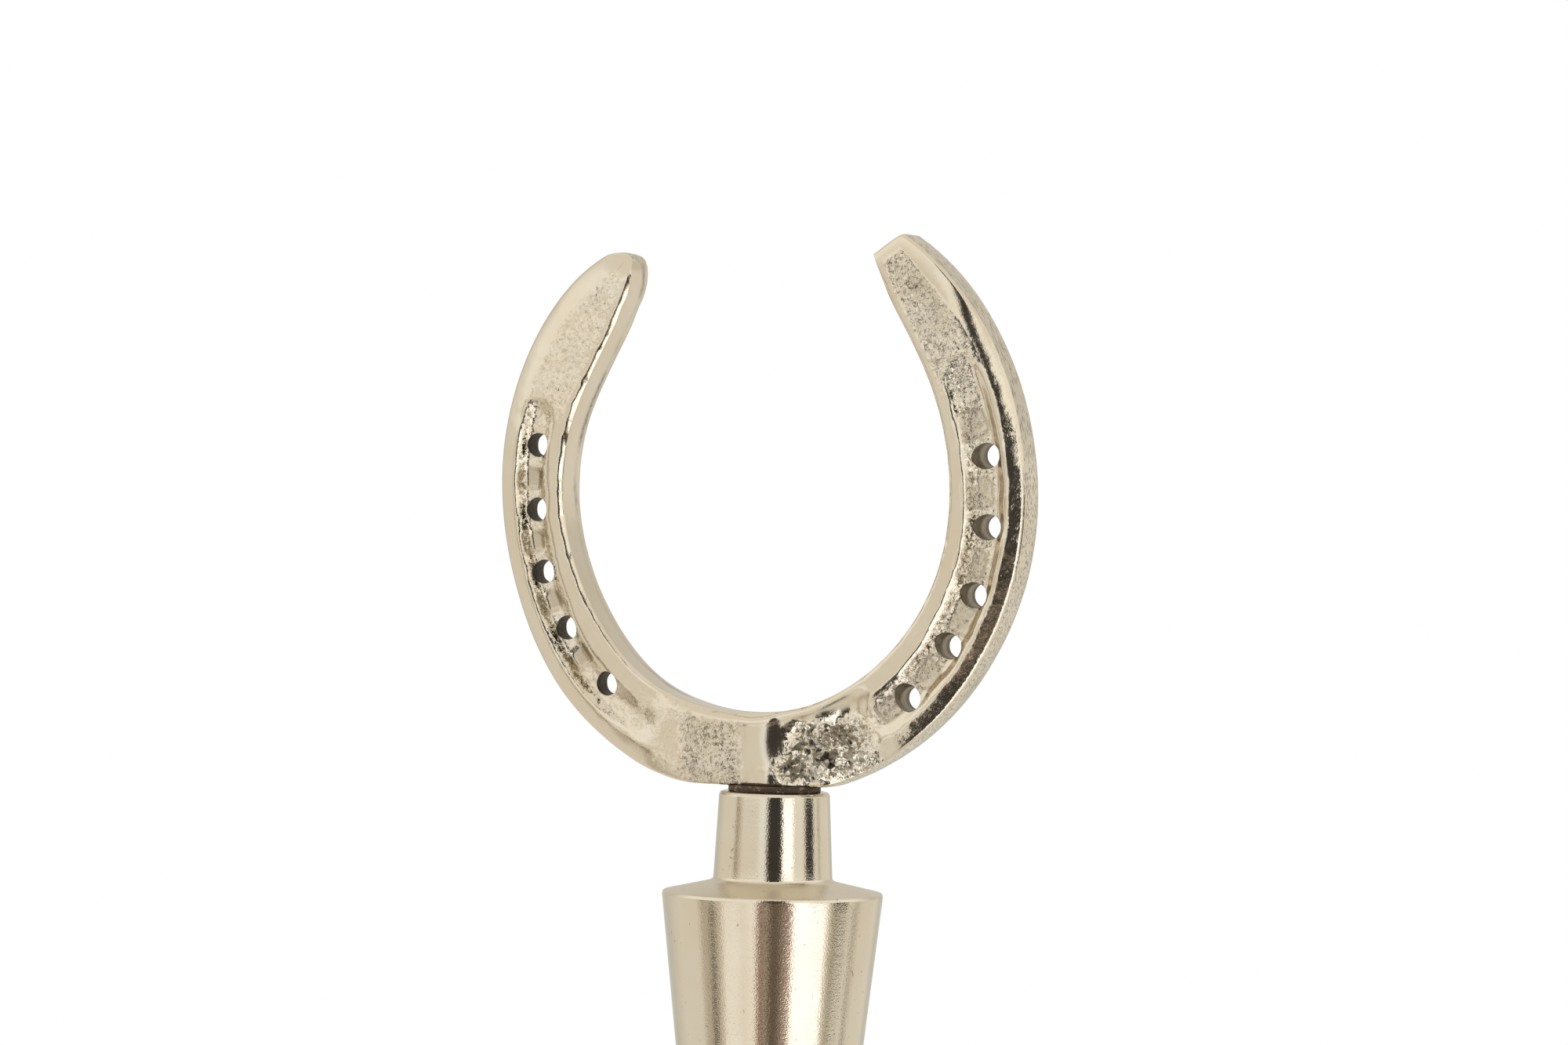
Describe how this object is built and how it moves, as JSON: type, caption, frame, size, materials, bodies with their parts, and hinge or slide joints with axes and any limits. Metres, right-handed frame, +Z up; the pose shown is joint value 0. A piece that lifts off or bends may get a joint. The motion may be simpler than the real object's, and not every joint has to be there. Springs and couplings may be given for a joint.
{
  "type": "bottle stopper with horseshoe handle",
  "caption": "Bottle stopper: an upright cast horseshoe with nail holes on a turned neck, above a tapered metal plug with rubber seal rings.",
  "frame": {"origin": "centre of the plug's flat small end", "axes": "+Z up the plug's axis towards the horseshoe; the nailed face of the horseshoe looks towards -Y, so X runs across the horseshoe's width"},
  "size_m": [0.0563, 0.022, 0.1028],
  "materials": {
    "cast_nickel": "nickel plate over rough cast metal, warm and bright",
    "turned_nickel": "nickel plate over turned metal, fine turning marks",
    "fibre_washer": "dark brown vulcanised fibre, matt",
    "stud_steel": "plain machined steel",
    "seal_rubber": "black moulded rubber, matt"
  },
  "bodies": {
    "root": {"horseshoe": "cast_nickel", "joint_washer": "fibre_washer", "threaded_stud": "stud_steel", "stopper_body": "turned_nickel", "seal_ring_lower": "seal_rubber", "seal_ring_middle": "seal_rubber", "seal_ring_upper": "seal_rubber"}
  },
  "joints": []
}
